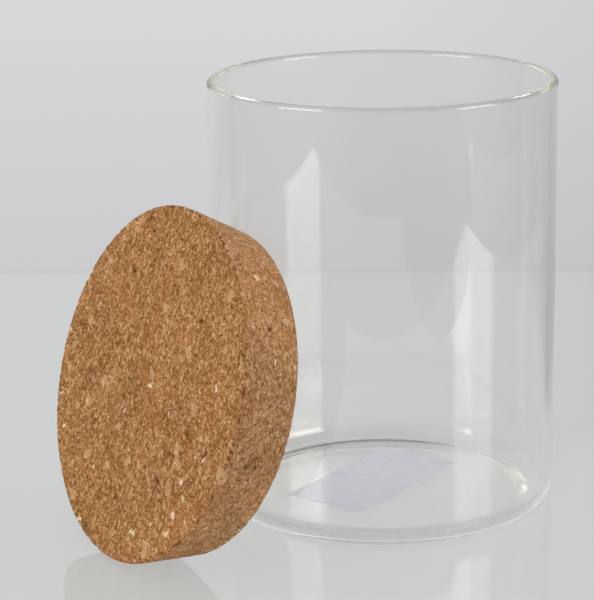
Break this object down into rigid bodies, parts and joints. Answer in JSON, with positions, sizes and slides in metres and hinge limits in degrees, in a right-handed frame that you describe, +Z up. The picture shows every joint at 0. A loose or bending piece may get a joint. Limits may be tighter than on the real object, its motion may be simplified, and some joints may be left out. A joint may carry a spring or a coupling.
{
  "type": "glass jar with cork lid",
  "caption": "Straight-sided clear glass storage jar with a thick tapered cork lid that plugs its mouth; the lid is off and leans on the jar's wall.",
  "frame": {"origin": "middle of the jar's foot ring, on the surface that it stands on", "axes": "+Z up along the jar's middle line, out of its mouth; +X to the right of the front view; -Y towards its viewer, and the lid leans on the left front of the wall"},
  "size_m": [0.1445, 0.1416, 0.1245],
  "materials": {
    "clear_glass": "polished",
    "pressed_cork": "matte",
    "label_paper": "matte"
  },
  "bodies": {
    "jar": {"glass_jar": "clear_glass", "base_label": "label_paper"},
    "lid": {"cork_lid": "pressed_cork"}
  },
  "joints": [
    {"name": "lid_lift", "type": "slide", "parent": "jar", "child": "lid", "axis": [0, 0, 1], "range_m": [0, 0.13]}
  ]
}
